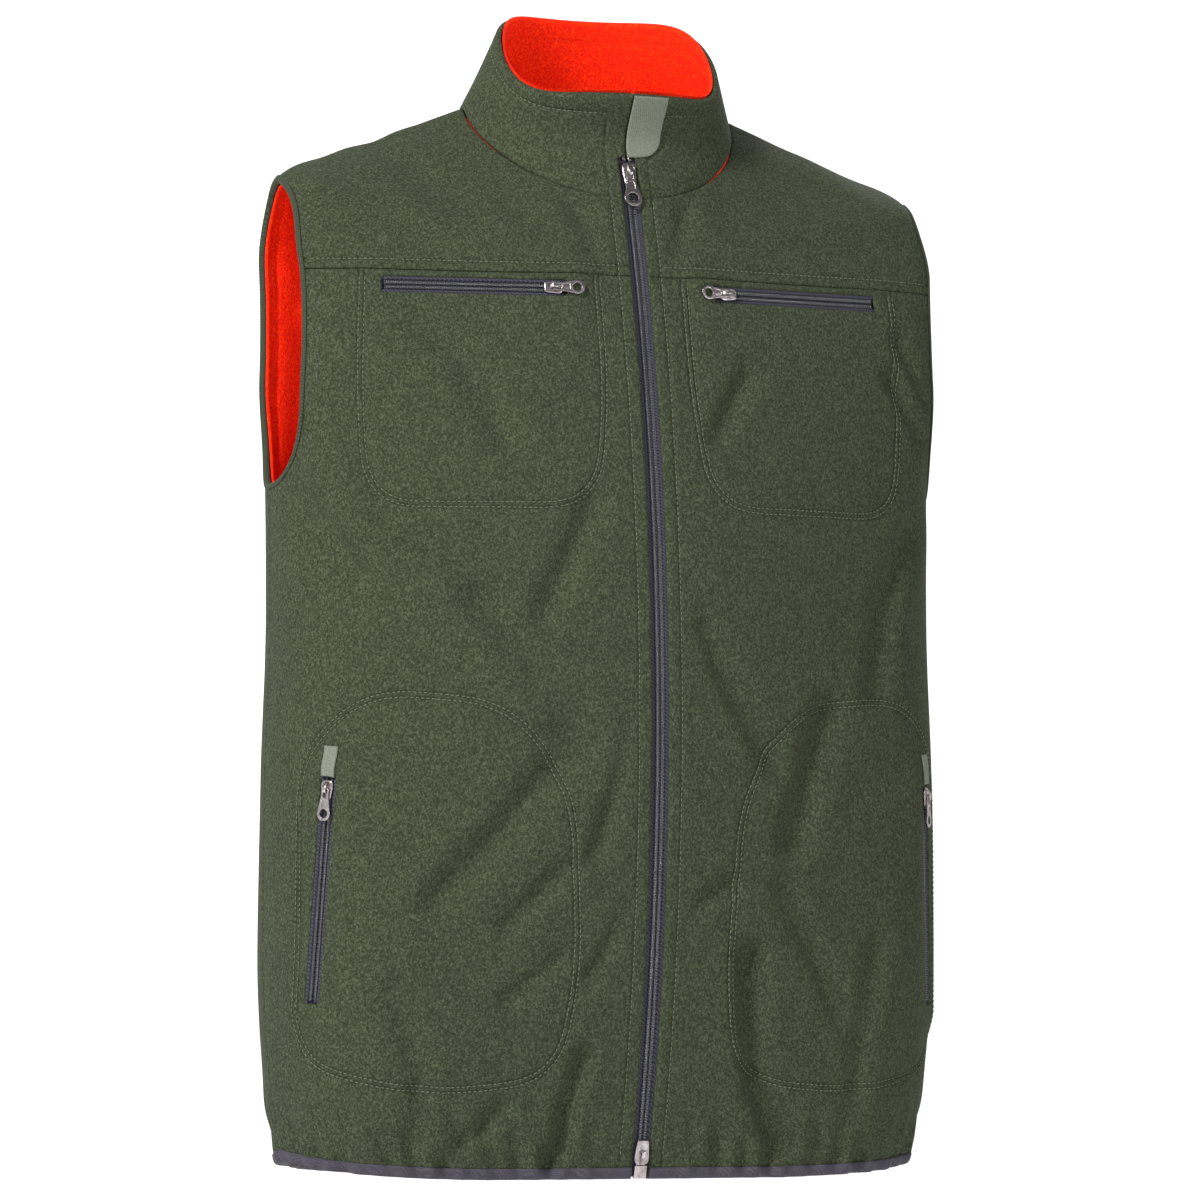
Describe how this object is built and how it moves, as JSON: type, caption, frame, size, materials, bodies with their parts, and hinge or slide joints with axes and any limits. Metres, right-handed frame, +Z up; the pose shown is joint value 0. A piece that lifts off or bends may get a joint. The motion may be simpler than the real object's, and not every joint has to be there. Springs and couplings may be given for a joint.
{
  "type": "reversible fleece vest",
  "caption": "Sleeveless stand-collar fleece vest, olive outside and blaze orange inside, with a two-way front zip, zipped chest pockets and zipped hand pockets.",
  "frame": {"origin": "centre of the neck opening, at the height of the back neck seam, on the side seam plane", "axes": "+Z up along the wearer, +X towards the wearer's left, -Y out of the front zip"},
  "size_m": [0.4576, 0.2421, 0.763],
  "materials": {
    "fleece_olive": "matt, short pile",
    "fleece_orange": "matt, brushed",
    "zip_tape": "woven, matt",
    "zip_coil": "semi-gloss moulded coil",
    "hem_binding": "knitted elastic, matt",
    "armhole_binding": "knitted binding, matt",
    "nickel": "antique nickel, satin",
    "sage_cloth": "woven, matt",
    "pocketing": "plain woven, matt",
    "elastic": "ribbed, matt"
  },
  "bodies": {
    "garment": {"armhole_binding_left": "armhole_binding", "armhole_binding_right": "armhole_binding", "back_lining": "fleece_orange", "back_shell": "fleece_olive", "chest_left_bag": "pocketing", "chest_left_zip_coil": "zip_coil", "chest_left_zip_tape": "zip_tape", "chest_right_bag": "pocketing", "chest_right_zip_coil": "zip_coil", "chest_right_zip_tape": "zip_tape", "chin_guard": "sage_cloth", "collar_lining": "fleece_orange", "collar_shell": "fleece_olive", "front_left_lining": "fleece_orange", "front_left_shell": "fleece_olive", "front_right_lining": "fleece_orange", "front_right_shell": "fleece_olive", "hand_left_bag": "pocketing", "hand_left_garage": "sage_cloth", "hand_left_zip_coil": "zip_coil", "hand_left_zip_tape": "zip_tape", "hand_right_bag": "pocketing", "hand_right_garage": "sage_cloth", "hand_right_zip_coil": "zip_coil", "hand_right_zip_tape": "zip_tape", "hem_binding": "hem_binding", "hem_elastic": "elastic", "insertion_pin": "nickel", "retainer_box": "nickel", "top_stop_left": "nickel", "top_stop_right": "nickel", "yoke_shell": "fleece_olive", "zip_coil_left": "zip_coil", "zip_coil_right": "zip_coil", "zip_tape_left": "zip_tape", "zip_tape_right": "zip_tape"},
    "top_slider": {"top_slider": "nickel"},
    "top_pull": {"top_pull": "nickel"},
    "bottom_slider": {"bottom_slider": "nickel"},
    "chest_right_slider": {"chest_right_slider": "nickel"},
    "chest_right_pull": {"chest_right_pull": "nickel"},
    "chest_left_slider": {"chest_left_slider": "nickel"},
    "chest_left_pull": {"chest_left_pull": "nickel"},
    "hand_right_slider": {"hand_right_slider": "nickel"},
    "hand_right_pull": {"hand_right_pull": "nickel"},
    "hand_left_slider": {"hand_left_slider": "nickel"},
    "hand_left_pull": {"hand_left_pull": "nickel"}
  },
  "joints": [
    {"name": "top_slider_run", "type": "hinge", "parent": "garment", "child": "top_slider", "pos_m": [0, 0.98558, -0.40655], "axis": [-1, 0, 0], "range_deg": [-31.4, 0]},
    {"name": "bottom_slider_run", "type": "hinge", "parent": "garment", "child": "bottom_slider", "pos_m": [0, 0.98558, -0.40655], "axis": [-1, 0, 0], "range_deg": [0, 31.2]},
    {"name": "top_pull_swing", "type": "hinge", "parent": "top_slider", "child": "top_pull", "pos_m": [0, -0.05747, -0.0514], "axis": [-1, 0, 0], "range_deg": [0, 150]},
    {"name": "chest_right_slider_run", "type": "slide", "parent": "garment", "child": "chest_right_slider", "axis": [-0.9889, 0.1485, 0], "range_m": [0, 0.104]},
    {"name": "chest_right_pull_swing", "type": "hinge", "parent": "chest_right_slider", "child": "chest_right_pull", "pos_m": [-0.06026, -0.07939, -0.13035], "axis": [-0.0323, -0.2151, -0.9761], "range_deg": [0, 150]},
    {"name": "chest_left_slider_run", "type": "slide", "parent": "garment", "child": "chest_left_slider", "axis": [0.9889, 0.1485, 0], "range_m": [0, 0.104]},
    {"name": "chest_left_pull_swing", "type": "hinge", "parent": "chest_left_slider", "child": "chest_left_pull", "pos_m": [0.06026, -0.07939, -0.13035], "axis": [-0.0323, 0.2151, 0.9761], "range_deg": [0, 150]},
    {"name": "hand_right_slider_run", "type": "slide", "parent": "garment", "child": "hand_right_slider", "axis": [-0.05, 0.0847, -0.9951], "range_m": [0, 0.129]},
    {"name": "hand_right_pull_swing", "type": "hinge", "parent": "hand_right_slider", "child": "hand_right_pull", "pos_m": [-0.20712, -0.06071, -0.4547], "axis": [-0.6191, 0.7793, 0.0974], "range_deg": [0, 150]},
    {"name": "hand_left_slider_run", "type": "slide", "parent": "garment", "child": "hand_left_slider", "axis": [0.05, 0.0847, -0.9951], "range_m": [0, 0.129]},
    {"name": "hand_left_pull_swing", "type": "hinge", "parent": "hand_left_slider", "child": "hand_left_pull", "pos_m": [0.20712, -0.06071, -0.4547], "axis": [-0.6191, -0.7793, -0.0974], "range_deg": [0, 150]}
  ]
}
